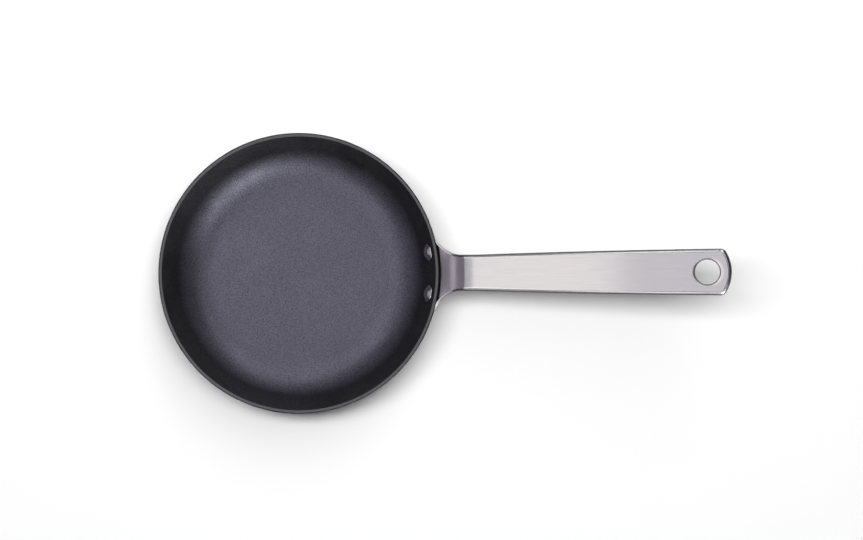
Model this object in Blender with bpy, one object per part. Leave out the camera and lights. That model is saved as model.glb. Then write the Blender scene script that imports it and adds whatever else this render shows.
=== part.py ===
"""Frying pan: a cast body, a bent steel strap handle and two rivets.

Metres, +Z up. The origin is the centre of the standing face, on the pan's axis.
The handle runs along +X. The pan's side is turned round the axis. The handle is pressed from
sheet: a flat blank whose edge is turned down along the grip, bent along its length and wrapped
onto the pan's side.
"""
import math

import bmesh
import bpy
from mathutils import Matrix, Vector

# Pan body
RIM_RADIUS = 0.1
PAN_HEIGHT = 0.042
WALL = 0.0025
FLOOR = 0.004
WALL_LEAN = math.radians(22)
KNUCKLE_RADIUS = 0.0288
RIM_ROUNDING = 0.0004
FOOT_RADIUS = 0.066
FOOT_CHAMFER = 0.0005
TURNED_STEPS = 96

# Clearances between pieces
SEAT_GAP = 0.0003
SHANK_CLEARANCE = 0.0003

# Handle blank
SHEET = 0.0024
SHEARED_EDGE = 0.0005
PLATE_HALF_WIDTH = 0.0285
PLATE_CORNER = 0.009
SHOULDER_RADIUS = 0.008
NECK_FILLET = 0.022
FILLET_BEFORE_CREASE = 0.004
NECK_HALF_WIDTH = 0.01276
GRIP_HALF_WIDTH = 0.01616
GRIP_BULGE = 0.0005
TIP_RADIUS = 0.027
TIP_CORNER = 0.004

# Handle edge, turned down along the grip and round the tip
FLANGE_DEPTH = 0.0065
FLANGE_RADIUS = 0.003
FLANGE_BEFORE_CREASE = 0.017
FLANGE_AFTER_CREASE = 0.006

# Handle bends, as slopes above the horizontal
NECK_START_SLOPE = math.radians(45.5)
NECK_END_SLOPE = math.radians(33)
GRIP_START_SLOPE = math.radians(21)
GRIP_RUN_SLOPE = math.radians(15)
GRIP_END_SLOPE = math.radians(8)

# Handle lengths along the strap's top face
PLATE_DROP = 0.02
PLATE_TOP_DROP = 0.004
ROOT_BEND_RADIUS = 0.012
NECK_LENGTH = 0.0195
CREASE_RADIUS = 0.0085
RUN_OUT = 0.008
GRIP_LENGTH = 0.1794
WRAP_FADE = 0.012

# Hanging hole
HOLE_RADIUS = 0.0086
HOLE_TO_TIP = 0.0167
HOLE_ROUNDING = 0.0013
HOLE_BURR_EDGE = 0.0003

# Rivets
RIVET_SPACING = 0.0296
RIVET_DROP = 0.0085
SHANK_RADIUS = 0.0029
INNER_HEAD_RADIUS = 0.0063
INNER_HEAD_HEIGHT = 0.0022
INNER_HEAD_RIM = 0.0006
INNER_HEAD_FLAT = 0.0034
OUTER_HEAD_RADIUS = 0.0055
OUTER_HEAD_HEIGHT = 0.0024

# Worked out from the sizes above
RIM_WIDTH = WALL / math.cos(WALL_LEAN)
PLATE_SLOPE = math.pi / 2 - WALL_LEAN


def remove_everything():
    """Empty the scene."""
    for item in list(bpy.data.objects):
        bpy.data.objects.remove(item, do_unlink=True)


def make_material(name, colour, roughness, metallic):
    """A plain surface of one colour."""
    material = bpy.data.materials.new(name)
    material.use_nodes = True
    shader = material.node_tree.nodes["Principled BSDF"]
    shader.inputs["Base Color"].default_value = (*colour, 1)
    shader.inputs["Roughness"].default_value = roughness
    shader.inputs["Metallic"].default_value = metallic
    return material


def add_object(name, bm, material=None, sharp_angle=math.radians(32)):
    """Put a mesh in the scene, smooth across its shallow edges."""
    mesh = bpy.data.meshes.new(name)
    bm.to_mesh(mesh)
    bm.free()
    mesh.shade_smooth()
    mesh.set_sharp_from_angle(angle=sharp_angle)
    item = bpy.data.objects.new(name, mesh)
    bpy.context.collection.objects.link(item)
    if material is not None:
        mesh.materials.append(material)
    return item


def arc(centre, radius, start, end, steps):
    """Points of an arc, both ends included, at angles from the first axis."""
    points = []
    for step in range(steps + 1):
        angle = start + (end - start) * step / steps
        points.append((centre[0] + radius * math.cos(angle), centre[1] + radius * math.sin(angle)))
    return points


def turn(profile, steps):
    """Turn a closed (radius, height) outline that starts and ends on the axis."""
    bm = bmesh.new()
    verts = [bm.verts.new((radius, 0, height)) for radius, height in profile]
    edges = [bm.edges.new(pair) for pair in zip(verts, verts[1:])]
    bmesh.ops.spin(bm, geom=verts + edges, cent=(0, 0, 0), axis=(0, 0, 1),
                   angle=2 * math.pi, steps=steps, use_merge=True)
    bmesh.ops.remove_doubles(bm, verts=bm.verts, dist=1e-6)
    bmesh.ops.recalc_face_normals(bm, faces=bm.faces)
    return bm


def inner_wall_radius(height):
    """Radius of the wall's inside face, where it is straight."""
    return RIM_RADIUS - RIM_WIDTH - (PAN_HEIGHT - height) * math.tan(WALL_LEAN)


def outer_wall_radius(height):
    """Radius of the wall's outside face, where it is straight."""
    return inner_wall_radius(height) + RIM_WIDTH


def pan_profile():
    """Outline of the pan's section, from the standing face round the rim to the floor."""
    knuckle_height = FLOOR + KNUCKLE_RADIUS
    knuckle_centre = (inner_wall_radius(knuckle_height) - KNUCKLE_RADIUS / math.cos(WALL_LEAN),
                      knuckle_height)
    outer_knuckle = KNUCKLE_RADIUS + WALL
    foot_angle = math.acos((FOOT_RADIUS - knuckle_centre[0]) / outer_knuckle)
    profile = [(0, 0), (FOOT_RADIUS / 2, 0), (FOOT_RADIUS - FOOT_CHAMFER, 0), (FOOT_RADIUS, FOOT_CHAMFER)]
    profile += arc(knuckle_centre, outer_knuckle, -foot_angle, -WALL_LEAN, 10)
    round_centre = RIM_RADIUS - RIM_ROUNDING
    round_height = PAN_HEIGHT - RIM_ROUNDING
    profile += arc((round_centre, round_height), RIM_ROUNDING, -WALL_LEAN, math.pi / 2, 3)
    inner_round = inner_wall_radius(PAN_HEIGHT) + RIM_ROUNDING * (1 + math.tan(WALL_LEAN))
    profile += arc((inner_round, round_height), RIM_ROUNDING, math.pi / 2, math.pi - WALL_LEAN, 2)
    profile += arc(knuckle_centre, KNUCKLE_RADIUS, -WALL_LEAN, -math.pi / 2, 11)
    profile += [(knuckle_centre[0] / 2, FLOOR), (0, FLOOR)]
    return profile


def make_pan_body(material):
    """The cast body: floor, curved side and flat rim."""
    return add_object("pan_body", turn(pan_profile(), TURNED_STEPS), material)


def bends():
    """The strap's stretches from the plate's lower edge to the tip: (length, first slope, last slope)."""
    return {
        "plate": ((PLATE_DROP - PLATE_TOP_DROP) / math.cos(WALL_LEAN), PLATE_SLOPE, PLATE_SLOPE),
        "root": (ROOT_BEND_RADIUS * (PLATE_SLOPE - NECK_START_SLOPE), PLATE_SLOPE, NECK_START_SLOPE),
        "neck": (NECK_LENGTH, NECK_START_SLOPE, NECK_END_SLOPE),
        "crease": (CREASE_RADIUS * (NECK_END_SLOPE - GRIP_START_SLOPE), NECK_END_SLOPE, GRIP_START_SLOPE),
        "run_out": (RUN_OUT, GRIP_START_SLOPE, GRIP_RUN_SLOPE),
        "grip": (GRIP_LENGTH, GRIP_RUN_SLOPE, GRIP_END_SLOPE),
    }


def length_to(stretch):
    """Length along the strap at which a stretch starts, or at which the strap ends at its tip."""
    total = 0
    for name, (length, _, _) in bends().items():
        if name == stretch:
            break
        total += length
    return total


def path_at(length):
    """Place (x, z) and slope of the strap's top face at a length along it."""
    height = PAN_HEIGHT - PLATE_DROP
    x = outer_wall_radius(height) + SEAT_GAP / math.cos(WALL_LEAN)
    z = height
    left = length
    for name, (span, first, last) in bends().items():
        part = left if name == "grip" else min(left, span)
        slope = first + (last - first) * part / span
        if abs(slope - first) > 1e-9:
            radius = part / (slope - first)
            x += radius * (math.sin(slope) - math.sin(first))
            z += radius * (math.cos(first) - math.cos(slope))
        else:
            x += part * math.cos(first)
            z += part * math.sin(first)
        left -= part
        if left <= 0:
            break
    return x, z, slope


def wrap_at(length):
    """Sideways curvature of the strap: the pan's own at the plate, fading to none in the neck."""
    x, _, _ = path_at(length)
    share = min(max((length - length_to("root")) / WRAP_FADE, 0), 1)
    fade = 1 - share * share * (3 - 2 * share)
    return fade / x


def fold(point):
    """Move a point of the flat blank (length, side, depth) to its place on the bent handle."""
    length, side, depth = point
    x, z, slope = path_at(length)
    x += depth * math.sin(slope)
    z -= depth * math.cos(slope)
    curvature = wrap_at(length)
    if curvature < 1e-6:
        return Vector((x, side, z))
    centre = path_at(length)[0] - 1 / curvature
    angle = side * curvature
    return Vector((centre + (x - centre) * math.cos(angle), (x - centre) * math.sin(angle), z))


def grip_edge(length):
    """Half width of the grip at a length along the strap: a slight bow from neck to tip."""
    start = length_to("grip")
    share = min(max((length - start) / (length_to("tip") - start), 0), 1)
    bow = 4 * GRIP_BULGE * share * (1 - share)
    return NECK_HALF_WIDTH + (GRIP_HALF_WIDTH - NECK_HALF_WIDTH) * share + bow


def half_outline(distance):
    """One side of the blank, moved inwards by a distance, from the plate's lower edge to the tip."""
    crease = length_to("crease")
    fillet_end = crease - FILLET_BEFORE_CREASE
    fillet_centre = (fillet_end, NECK_HALF_WIDTH + NECK_FILLET)
    shoulder_side = PLATE_HALF_WIDTH - SHOULDER_RADIUS
    drop = fillet_centre[1] - shoulder_side
    reach = math.sqrt((NECK_FILLET + SHOULDER_RADIUS) ** 2 - drop ** 2)
    lean = math.atan2(drop, reach)
    plate_corner_centre = (PLATE_CORNER, PLATE_HALF_WIDTH - PLATE_CORNER)
    points = [(distance, 0)]
    points += arc(plate_corner_centre, PLATE_CORNER - distance, math.pi, math.pi / 2, 7)
    points += arc((fillet_end - reach, shoulder_side), SHOULDER_RADIUS - distance, math.pi / 2, lean, 4)
    points += arc(fillet_centre, NECK_FILLET + distance, lean - math.pi, -math.pi / 2, 9)[1:]

    points.append((fillet_end + FILLET_BEFORE_CREASE / 2, NECK_HALF_WIDTH - distance))
    crease_length = length_to("run_out") - crease
    for step in range(4):
        points.append((crease + crease_length * step / 3, NECK_HALF_WIDTH - distance))

    corner_side = GRIP_HALF_WIDTH - TIP_CORNER
    tip_centre = length_to("tip") - TIP_RADIUS
    corner_lean = math.asin(corner_side / (TIP_RADIUS - TIP_CORNER))
    corner_length = tip_centre + (TIP_RADIUS - TIP_CORNER) * math.cos(corner_lean)
    run_steps = [length_to("run_out") + RUN_OUT * step / 3 for step in range(1, 4)]
    grip_start = length_to("grip")
    grip_steps = [grip_start + (corner_length - grip_start) * step / 12 for step in range(1, 13)]
    points += [(length, grip_edge(length) - distance) for length in run_steps + grip_steps]
    points += arc((corner_length, corner_side), TIP_CORNER - distance, math.pi / 2, corner_lean, 4)[1:]
    points += arc((tip_centre, 0), TIP_RADIUS - distance, corner_lean, 0, 6)[1:]
    return points


def sheared_rows():
    """Rows of the plain sheared edge, from top face to bottom face: (inset, depth)."""
    rows = arc((SHEARED_EDGE, SHEARED_EDGE), SHEARED_EDGE, -math.pi / 2, -math.pi, 3)
    rows += [(0, SHEET - SHEARED_EDGE), (SHEARED_EDGE, SHEET)]
    rows += [(SHEET - SHEARED_EDGE, SHEET), (SHEET, SHEET)]
    for step in range(1, 4):
        rows.append((SHEET + (FLANGE_RADIUS - SHEET) * step / 3, SHEET))
    return rows


def flange_rows():
    """The same rows where the edge is turned down: outer bend, lip, inner bend."""
    rows = arc((FLANGE_RADIUS, FLANGE_RADIUS), FLANGE_RADIUS, -math.pi / 2, -math.pi, 3)
    rows += [(0, FLANGE_DEPTH - SHEARED_EDGE), (SHEARED_EDGE, FLANGE_DEPTH)]
    rows += [(SHEET - SHEARED_EDGE, FLANGE_DEPTH), (SHEET, FLANGE_DEPTH - SHEARED_EDGE)]
    inner_radius = FLANGE_RADIUS - SHEET
    return rows + arc((FLANGE_RADIUS, FLANGE_RADIUS), inner_radius, -math.pi, -math.pi / 2, 2)


def flange_share(length):
    """How far the edge is turned down at a length along the strap, from 0 to 1."""
    start = length_to("crease") - FLANGE_BEFORE_CREASE
    end = length_to("crease") + FLANGE_AFTER_CREASE
    share = min(max((length - start) / (end - start), 0), 1)
    return share * share * (3 - 2 * share)


def flat_blank():
    """The strap before bending, as a mesh in (length, side, depth)."""
    bm = bmesh.new()
    loops = []
    for plain, turned in zip(sheared_rows(), flange_rows()):
        half = []
        for flat_point, turned_point in zip(half_outline(plain[0]), half_outline(turned[0])):
            share = flange_share(flat_point[0])
            length = flat_point[0] + (turned_point[0] - flat_point[0]) * share
            side = flat_point[1] + (turned_point[1] - flat_point[1]) * share
            half.append((length, side, plain[1] + (turned[1] - plain[1]) * share))
        mirrored = [(length, -side, depth) for length, side, depth in reversed(half[1:-1])]
        loops.append([bm.verts.new(point) for point in half + mirrored])
    count = len(loops[0])
    for upper, lower in zip(loops, loops[1:]):
        for number in range(count):
            after = (number + 1) % count
            bm.faces.new((upper[number], upper[after], lower[after], lower[number]))
    for loop in (loops[0], loops[-1]):
        bm.faces.new((loop[0], loop[1], loop[-1]))
        for number in range(1, count // 2 - 1):
            bm.faces.new((loop[number], loop[number + 1], loop[-number - 1], loop[-number]))
        middle = count // 2
        bm.faces.new((loop[middle - 1], loop[middle], loop[middle + 1]))
    bmesh.ops.recalc_face_normals(bm, faces=bm.faces)
    return bm


def cut_sideways_columns(bm):
    """Split the wrapped part of the blank along its length, so that it can curve round the pan."""
    for column in range(-3, 4):
        side = column * PLATE_HALF_WIDTH / 4
        faces = [face for face in bm.faces if face.calc_center_median().x < length_to("crease")]
        edges = {edge for face in faces for edge in face.edges}
        verts = {vert for face in faces for vert in face.verts}
        bmesh.ops.bisect_plane(bm, geom=faces + list(edges) + list(verts), dist=1e-7,
                               plane_co=(0, side, 0), plane_no=(0, 1, 0))


def rivet_frame(side):
    """Turn and place of a rivet: its +Z leaves the pan's outside, from the wall's inside face."""
    height = PAN_HEIGHT - RIVET_DROP
    radius = inner_wall_radius(height)
    angle = side * math.asin(RIVET_SPACING / 2 / radius)
    round_axis = Matrix.Rotation(angle, 4, "Z")
    place = Matrix.Translation((radius, 0, height))
    lean = Matrix.Rotation(math.pi / 2 + WALL_LEAN, 4, "Y")
    return round_axis @ place @ lean


def add_cutter(name, profile, steps, place):
    """A turned shape that only cuts."""
    cutter = add_object(name, turn(profile, steps))
    cutter.matrix_world = place
    cutter.hide_render = True
    cutter.display_type = "WIRE"
    return cutter


def cut(item, cutter):
    """Cut one shape out of a piece."""
    modifier = item.modifiers.new(cutter.name, "BOOLEAN")
    modifier.operation = "DIFFERENCE"
    modifier.solver = "EXACT"
    modifier.object = cutter


def rod_profile(radius, bottom, top):
    """Outline of a plain rod for turning, bottom to top."""
    return [(0, bottom), (radius, bottom), (radius, top), (0, top)]


def hole_profile():
    """Outline of the hanging hole's cutter from below to above the sheet, flared to round its edges."""
    flare = HOLE_RADIUS + HOLE_ROUNDING
    profile = [(0, -2 * SHEET), (HOLE_RADIUS + HOLE_BURR_EDGE, -2 * SHEET)]
    profile += [(HOLE_RADIUS + HOLE_BURR_EDGE, -SHEET), (HOLE_RADIUS, HOLE_BURR_EDGE - SHEET)]
    profile += arc((flare, -HOLE_ROUNDING), HOLE_ROUNDING, math.pi, math.pi / 2, 3)
    return profile + [(flare, SHEET), (0, SHEET)]


def make_handle(material):
    """The strap handle: rivet plate, neck, crease, grip and hanging hole."""
    bm = flat_blank()
    cut_sideways_columns(bm)
    for vert in bm.verts:
        vert.co = fold(vert.co)
    bmesh.ops.triangulate(bm, faces=[face for face in bm.faces if len(face.verts) > 4])
    bmesh.ops.recalc_face_normals(bm, faces=bm.faces)
    handle = add_object("handle", bm, material)

    x, z, slope = path_at(length_to("tip") - HOLE_TO_TIP)
    place = Matrix.Translation((x, 0, z)) @ Matrix.Rotation(-slope, 4, "Y")
    cut(handle, add_cutter("hanging_hole_cutter", hole_profile(), 48, place))
    return handle


def rivet_profile():
    """Outline of a rivet, from the crown of its outer head down to the flat of its inner head."""
    sag = INNER_HEAD_RADIUS ** 2 / 2 * math.cos(WALL_LEAN) / inner_wall_radius(PAN_HEIGHT - RIVET_DROP)
    inner_seat = -SEAT_GAP - sag
    outer_seat = WALL + SEAT_GAP + SHEET + SEAT_GAP
    inner_face = inner_seat - INNER_HEAD_HEIGHT
    dome_radius = (OUTER_HEAD_RADIUS ** 2 + OUTER_HEAD_HEIGHT ** 2) / (2 * OUTER_HEAD_HEIGHT)
    dome_centre = (0, outer_seat + OUTER_HEAD_HEIGHT - dome_radius)
    dome_angle = math.asin(OUTER_HEAD_RADIUS / dome_radius)
    profile = arc(dome_centre, dome_radius, math.pi / 2, math.pi / 2 - dome_angle, 5)
    profile += [(SHANK_RADIUS, outer_seat), (SHANK_RADIUS, inner_seat)]
    profile += [(INNER_HEAD_RADIUS, inner_seat), (INNER_HEAD_RADIUS, inner_seat - INNER_HEAD_RIM)]
    profile += [(INNER_HEAD_FLAT, inner_face), (0, inner_face)]
    return profile


def make_rivet(name, side, material):
    """One rivet: low bevelled head inside the pan, shank, domed head outside."""
    rivet = add_object(name, turn(rivet_profile(), 32), material)
    rivet.matrix_world = rivet_frame(side)
    return rivet


def build():
    """Make every piece and cut the holes that the rivets pass through."""
    remove_everything()
    cast_iron = make_material("cast_iron_body", (0.035, 0.034, 0.04), 0.6, 0.0)
    steel = make_material("brushed_steel_handle", (0.62, 0.59, 0.59), 0.32, 1.0)
    rivet_steel = make_material("steel_rivet", (0.66, 0.66, 0.67), 0.25, 1.0)
    body = make_pan_body(cast_iron)
    handle = make_handle(steel)
    bore = rod_profile(SHANK_RADIUS + SHANK_CLEARANCE, -2 * WALL, 2 * (WALL + SHEET))
    for name, side in (("right", 1), ("left", -1)):
        cutter = add_cutter("rivet_bore_cutter_" + name, bore, 32, rivet_frame(side))
        cut(body, cutter)
        cut(handle, cutter)
        make_rivet("rivet_" + name, side, rivet_steel)


build()
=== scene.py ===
"""Frying pan with a riveted strap handle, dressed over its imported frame.

The pan's body is turned from its section. The handle is cut flat, given its turned-down edge
and its hanging hole, and then bent along its length and round the pan's side. The rivets are
turned like the body and set through both. All sizes are metres, +X runs along the handle and
+Z up out of the pan, and the origin is the centre of the standing face.
"""
import logging
import math
from dataclasses import dataclass, field
from enum import Enum
from itertools import accumulate
from typing import Callable

import bmesh
import bpy
from mathutils import Matrix, Vector
from mathutils.geometry import intersect_point_line


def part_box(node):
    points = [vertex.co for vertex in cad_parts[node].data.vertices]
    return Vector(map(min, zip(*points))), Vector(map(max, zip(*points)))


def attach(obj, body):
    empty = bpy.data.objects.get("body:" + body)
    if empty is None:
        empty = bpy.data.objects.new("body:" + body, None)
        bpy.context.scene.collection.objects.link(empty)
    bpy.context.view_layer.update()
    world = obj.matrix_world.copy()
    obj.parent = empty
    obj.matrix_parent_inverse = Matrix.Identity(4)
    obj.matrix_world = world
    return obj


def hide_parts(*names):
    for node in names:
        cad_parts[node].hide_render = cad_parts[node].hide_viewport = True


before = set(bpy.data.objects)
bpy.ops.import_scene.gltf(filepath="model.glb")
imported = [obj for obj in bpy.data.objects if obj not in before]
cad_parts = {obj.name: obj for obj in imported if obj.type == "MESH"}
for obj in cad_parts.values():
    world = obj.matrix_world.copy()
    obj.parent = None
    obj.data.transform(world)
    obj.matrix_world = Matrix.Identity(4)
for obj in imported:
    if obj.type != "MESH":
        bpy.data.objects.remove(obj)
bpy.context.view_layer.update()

BODY = "root"
LOG = logging.getLogger("frying_pan")
TOUCHING = 1e-6
NEAR = 1e-5

Pair = tuple[float, float]
Triple = tuple[float, float, float]
Colour = tuple[float, float, float, float]
Socket = bpy.types.NodeSocket


class Part(Enum):
    """Which kind of element of a mesh an operator works on."""

    POINT = "VERT"
    EDGE = "EDGE"
    FACE = "FACE"


class LampUse(Enum):
    """What a lamp is for: it lights and casts shadows, or it is only seen in the metal and the coating."""

    LIGHT = "light"
    REFLECTION = "reflection"


class RivetSide(Enum):
    """Side of the handle that a rivet sits on, as its sign along Y."""

    LEFT = -1
    RIGHT = 1


def put_in_scene(name: str, data: bpy.types.ID | None) -> bpy.types.Object:
    """Put a new object with its data into the scene."""
    item = bpy.data.objects.new(name, data)
    bpy.context.scene.collection.objects.link(item)
    return item


def ease(value: float) -> float:
    """Rise smoothly from 0 to 1."""
    share = min(max(value, 0.0), 1.0)
    return share * share * (3 - 2 * share)


class Workpiece:
    """A mesh that is modelled by hand, from its first primitive to its finished form."""

    def __init__(self, name: str, start: Triple) -> None:
        """Start with one point.

        Args:
            name: Name of the finished piece.
            start: Place of the first point.
        """
        if bpy.context.object is not None and bpy.context.object.mode != "OBJECT":
            bpy.ops.object.mode_set(mode="OBJECT")
        bpy.ops.object.select_all(action="DESELECT")
        bpy.ops.mesh.primitive_plane_add(size=0.001)
        self.item = bpy.context.object
        self.item.name = name
        self.item.data.name = name
        self.edit()
        bpy.ops.mesh.select_mode(type=Part.POINT.value)
        bpy.ops.mesh.select_all(action="SELECT")
        bpy.ops.mesh.merge(type="CENTER")
        self.move(start)

    def edit(self) -> None:
        """Go into edit mode on this piece alone."""
        if self.item.mode != "EDIT":
            self.leave()
            bpy.ops.object.mode_set(mode="EDIT")

    def leave(self) -> None:
        """Go back to object mode, with only this piece selected."""
        if self.item.mode != "OBJECT":
            bpy.ops.object.mode_set(mode="OBJECT")
        bpy.ops.object.select_all(action="DESELECT")
        self.item.select_set(True)
        bpy.context.view_layer.objects.active = self.item

    def pick(self, part: Part, wanted: Callable[[Vector], bool]) -> None:
        """Select the elements whose middle is wanted, and nothing else.

        Args:
            part: Kind of element.
            wanted: Test on the middle of an element.
        """
        self.edit()
        bpy.ops.mesh.select_mode(type=part.value)
        bpy.ops.mesh.select_all(action="DESELECT")
        mesh = bmesh.from_edit_mesh(self.item.data)
        for element in {Part.POINT: mesh.verts, Part.EDGE: mesh.edges, Part.FACE: mesh.faces}[part]:
            points = [element] if part is Part.POINT else element.verts
            middle = sum((point.co for point in points), Vector()) / len(points)
            if wanted(middle):
                element.select_set(True)
        mesh.select_flush_mode()
        bmesh.update_edit_mesh(self.item.data, loop_triangles=False)

    def pick_all(self) -> None:
        """Select the whole mesh."""
        self.edit()
        bpy.ops.mesh.select_all(action="SELECT")

    def move(self, step: Triple) -> None:
        """Move what is selected."""
        bpy.ops.transform.translate(value=step)

    def extrude(self, step: Triple) -> None:
        """Extrude what is selected and move the new end."""
        bpy.ops.mesh.extrude_region_move(TRANSFORM_OT_translate={"value": step})

    def draw(self, *steps: Pair) -> None:
        """Carry the last point of a section along straight edges, each given as its way out and up."""
        for out, up in steps:
            self.extrude((out, 0, up))

    def widen(self, factor: float) -> None:
        """Scale what is selected along Y, about the middle plane."""
        bpy.ops.transform.resize(value=(1, factor, 1), center_override=(0, 0, 0))

    def sweep(self, centre: Pair, angle: float, steps: int) -> None:
        """Carry the last point of a section along an arc.

        Args:
            centre: Centre of the arc, as radius and height.
            angle: Turn, positive from +X towards +Z.
            steps: Number of edges along the arc.
        """
        middle = (centre[0], 0, centre[1])
        bpy.ops.mesh.spin(steps=steps, angle=angle, center=middle, axis=(0, 1, 0))

    def lathe(self, steps: int) -> None:
        """Turn the section round the upright axis and close it."""
        self.pick_all()
        bpy.ops.mesh.spin(steps=steps, angle=2 * math.pi, center=(0, 0, 0), axis=(0, 0, 1))
        self.close_up()

    def close_up(self, distance: float = TOUCHING) -> None:
        """Merge the doubles and point every face outwards."""
        self.pick_all()
        bpy.ops.mesh.remove_doubles(threshold=distance)
        bpy.ops.mesh.dissolve_degenerate(threshold=distance)
        self.pick_all()
        bpy.ops.mesh.normals_make_consistent(inside=False)

    def apply(self, name: str, kind: str, **settings: object) -> None:
        """Add a modifier with its settings and apply it.

        Args:
            name: Name of the modifier.
            kind: Type of modifier.
            settings: Values of the modifier.
        """
        self.leave()
        modifier = self.item.modifiers.new(name, kind)
        for key, value in settings.items():
            setattr(modifier, key, value)
        bpy.ops.object.modifier_apply(modifier=name)

    def cut(self, cutter: "Workpiece") -> None:
        """Cut another workpiece out of this one."""
        self.apply(cutter.item.name, "BOOLEAN", operation="DIFFERENCE", solver="EXACT", object=cutter.item)

    def place(self, placing: Matrix) -> None:
        """Set the finished mesh in its place, with the object left at the origin."""
        self.leave()
        self.item.matrix_world = placing
        bpy.ops.object.transform_apply(location=True, rotation=True, scale=True)

    def smooth(self, angle: float = math.radians(35)) -> None:
        """Shade smooth across edges that turn by less than an angle, with the wide faces kept flat."""
        self.leave()
        bpy.ops.object.shade_smooth_by_angle(angle=angle)
        self.apply("flat_faces", "WEIGHTED_NORMAL", keep_sharp=True)

    def mark(self, name: str, share: Callable[[bpy.types.MeshPolygon], float]) -> None:
        """Write a number from 0 to 1 on every face, for the finish to read.

        Args:
            name: Name of the mark.
            share: Gives the number for a face.
        """
        self.leave()
        marks = self.item.data.attributes.new(name, "FLOAT", "FACE")
        for face in self.item.data.polygons:
            marks.data[face.index].value = share(face)

    def drop(self) -> None:
        """Remove a workpiece that was only a tool."""
        self.leave()
        bpy.data.objects.remove(self.item, do_unlink=True)


@dataclass
class PanSizes:
    """Sizes of the casting, worked out from the frame where it holds them."""

    rim_radius: float = 0.1
    height: float = field(default_factory=lambda: round(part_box("pan_body")[1].z, 5))
    wall: float = 0.0025
    floor: float = 0.004
    lean: float = math.radians(22)
    knuckle: float = 0.0288
    rim_rounding: float = 0.0004
    rim_outer_rounding: float = 0.0008
    foot_radius: float = 0.066
    foot_chamfer: float = 0.0005
    outer_steps: int = 28
    inner_steps: int = 36
    rim_steps: tuple[int, int] = (8, 6)
    turned_steps: int = 240
    outward_lean: float = 0.1
    downward_lean: float = 0.5

    def inner_radius(self, height: float) -> float:
        """Radius of the wall's inside face, where it is straight."""
        rim_width = self.wall / math.cos(self.lean)
        return self.rim_radius - rim_width - (self.height - height) * math.tan(self.lean)

    def outer_radius(self, height: float) -> float:
        """Radius of the wall's outside face, where it is straight."""
        return self.inner_radius(height) + self.wall / math.cos(self.lean)


@dataclass
class PanBody:
    """The coated casting: floor, curved side, flat rim and turned standing face."""

    sizes: PanSizes

    def knuckle_centre(self) -> Pair:
        """Centre of the curve between floor and side, as radius and height."""
        height = self.sizes.floor + self.sizes.knuckle
        return self.sizes.inner_radius(height) - self.sizes.knuckle / math.cos(self.sizes.lean), height

    def model(self, rivets: list["Rivet"]) -> Workpiece:
        """Draw the section from the standing face round the rim to the floor, turn it and bore it.

        Args:
            rivets: The rivets that pass through its side.

        Returns:
            The finished casting.
        """
        sizes = self.sizes
        centre = self.knuckle_centre()
        outer = sizes.knuckle + sizes.wall
        foot_angle = math.acos((sizes.foot_radius - centre[0]) / outer)
        foot_height = centre[1] - outer * math.sin(foot_angle)
        piece = Workpiece("coated_casting", (0, 0, 0))
        piece.draw((sizes.foot_radius - sizes.foot_chamfer, 0), (sizes.foot_chamfer, foot_height))
        piece.sweep(centre, foot_angle - sizes.lean, sizes.outer_steps)

        middle = Vector((centre[0], 0, centre[1]))
        lean_side = Vector((math.cos(sizes.lean), 0, -math.sin(sizes.lean)))
        round_out = sizes.rim_outer_rounding
        wall_top = Vector((sizes.rim_radius - round_out, 0, sizes.height - round_out))
        piece.extrude(wall_top + round_out * lean_side - (middle + outer * lean_side))
        piece.sweep((wall_top.x, wall_top.z), math.pi / 2 + sizes.lean, sizes.rim_steps[0])

        round_in = sizes.rim_rounding
        inner_round = sizes.inner_radius(sizes.height) + round_in * (1 + math.tan(sizes.lean))
        piece.draw((inner_round - wall_top.x, 0))
        piece.sweep((inner_round, sizes.height - round_in), math.pi / 2 - sizes.lean, sizes.rim_steps[1])

        end = Vector((inner_round, 0, sizes.height - round_in)) - round_in * lean_side
        piece.extrude(middle + sizes.knuckle * lean_side - end)
        piece.sweep(centre, -(math.pi / 2 - sizes.lean), sizes.inner_steps)
        piece.draw((-centre[0], 0))
        piece.lathe(sizes.turned_steps)
        for rivet in rivets:
            rivet.bore(piece)
        piece.smooth()
        piece.mark("outside", self.looks_out)
        return piece

    def looks_out(self, face: bpy.types.MeshPolygon) -> float:
        """Whether a face looks outwards or down, where the coating is plainer and painted darker as shade.
        """
        outwards = face.normal.xy.dot(face.center.xy) > self.sizes.outward_lean * face.center.xy.length
        return float(outwards or face.normal.z < -self.sizes.downward_lean)


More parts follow.
